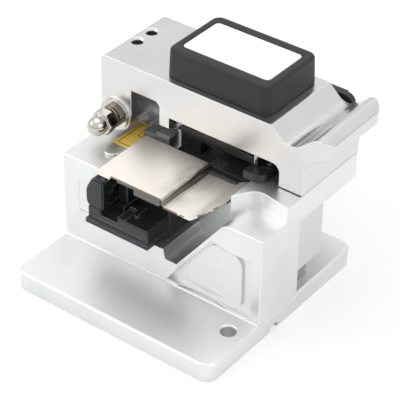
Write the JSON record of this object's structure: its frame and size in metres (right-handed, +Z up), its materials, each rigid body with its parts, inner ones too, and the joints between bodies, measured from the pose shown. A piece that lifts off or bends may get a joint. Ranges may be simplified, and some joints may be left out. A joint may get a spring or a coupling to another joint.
{
  "type": "fibre cleaver",
  "caption": "Bench fibre cleaver: a hinged lever with clamps over a sliding blade carriage, with a removable lidded fibre holder, on a square base plate.",
  "frame": {"origin": "centre of the base plate's underside", "axes": "+Z up, +X to the right along the lever and the blade carriage, +Y away from the user along the fibre"},
  "size_m": [0.0733, 0.0724, 0.0634],
  "materials": {
    "plate_aluminium": "bead blasted and clear anodised, satin",
    "body_aluminium": "bead blasted and clear anodised, satin",
    "lever_aluminium": "bead blasted and clear anodised, satin",
    "tag_aluminium": "satin sheet",
    "carriage_aluminium": "clear anodised, satin",
    "panel_white": "bare white panel, matte",
    "label_white": "bare white label, matte",
    "pad_rubber": "matte black rubber",
    "clamp_rubber": "matte black rubber",
    "black_plastic": "fine matte black",
    "holder_plastic": "fine matte black",
    "deck_plastic": "fine matte black",
    "guard_grey": "matte grey",
    "sticker_yellow": "plain yellow film with a thin dark border",
    "lid_steel": "satin nickel steel sheet",
    "polished_steel": "polished steel",
    "screw_steel": "machined steel",
    "rail_steel": "ground steel",
    "spring_steel": "drawn spring wire",
    "blade_carbide": "ground tungsten carbide",
    "bronze": "sintered bronze"
  },
  "bodies": {
    "base": {"base_plate": "plate_aluminium", "base_screws": "screw_steel", "body_block": "body_aluminium", "front_panel": "panel_white", "hinge_bush": "bronze", "deck_plate": "deck_plastic", "stop_block": "black_plastic", "stop_block_screw": "screw_steel", "caution_plate": "tag_aluminium", "caution_sticker": "sticker_yellow", "spring_guard": "guard_grey", "lift_spring_rod": "polished_steel", "lift_spring": "spring_steel", "lower_clamp_front": "black_plastic", "lower_clamp_front_rubber": "clamp_rubber", "lower_clamp_rear": "black_plastic", "lower_clamp_rear_rubber": "clamp_rubber", "slide_rail": "rail_steel", "rail_screws": "screw_steel", "return_spring_post": "polished_steel", "return_spring": "spring_steel", "scrap_collector": "black_plastic", "collector_screw": "screw_steel"},
    "lever": {"arm_lever": "lever_aluminium", "flat_washer": "polished_steel", "split_washer": "polished_steel", "cap_nut": "polished_steel", "hinge_bolt": "polished_steel", "lever_set_screws": "screw_steel", "lever_pad": "pad_rubber", "pad_label": "label_white", "stop_pin": "polished_steel", "drive_roller_pin": "polished_steel", "clamp_springs_front": "spring_steel", "clamp_springs_rear": "spring_steel"},
    "roller": {"drive_roller": "polished_steel"},
    "front_clamp": {"upper_clamp_front": "black_plastic", "upper_clamp_front_rubber": "clamp_rubber", "guide_screws_front": "polished_steel"},
    "rear_clamp": {"upper_clamp_rear": "black_plastic", "upper_clamp_rear_rubber": "clamp_rubber", "guide_screws_rear": "polished_steel"},
    "carriage": {"blade_carriage": "carriage_aluminium", "rail_slider": "rail_steel", "blade_sleeve": "polished_steel", "blade_screw": "screw_steel", "return_spring_peg": "polished_steel"},
    "blade": {"blade_wheel": "blade_carbide"},
    "holder": {"fibre_holder": "holder_plastic", "holder_magnets": "polished_steel"},
    "lid": {"holder_lid": "lid_steel", "lid_hinge_pin": "polished_steel", "lid_pressure_pad": "clamp_rubber"}
  },
  "joints": [
    {"name": "lever_hinge", "type": "hinge", "parent": "base", "child": "lever", "pos_m": [-0.0282, 0.0184, 0.0382], "axis": [0, -1, 0], "range_deg": [0, 40], "deforming": ["lift_spring"]},
    {"name": "carriage_slide", "type": "slide", "parent": "base", "child": "carriage", "axis": [1, 0, 0], "range_m": [0, 0.00952], "deforming": ["return_spring"]},
    {"name": "blade_turn", "type": "hinge", "parent": "carriage", "child": "blade", "pos_m": [-0.0105, 0.0178, 0.02355], "axis": [0, 1, 0], "continuous": true},
    {"name": "roller_turn", "type": "hinge", "parent": "lever", "child": "roller", "pos_m": [-0.0282, 0.0216, 0.0234], "axis": [0, 1, 0], "continuous": true},
    {"name": "front_clamp_slide", "type": "slide", "parent": "lever", "child": "front_clamp", "axis": [0, 0, 1], "range_m": [0, 0.0004], "deforming": ["clamp_springs_front"]},
    {"name": "rear_clamp_slide", "type": "slide", "parent": "lever", "child": "rear_clamp", "axis": [0, 0, 1], "range_m": [0, 0.0004], "deforming": ["clamp_springs_rear"]},
    {"name": "holder_slide", "type": "slide", "parent": "base", "child": "holder", "axis": [0, -1, 0], "range_m": [0, 0.018]},
    {"name": "lid_hinge", "type": "hinge", "parent": "holder", "child": "lid", "pos_m": [-0.0156, -0.0053, 0.033], "axis": [0, -1, 0], "range_deg": [0, 95]}
  ],
  "couplings": [
    {"joint": "carriage_slide", "follows": "lever_hinge", "m_per_rad": 0.013622}
  ]
}
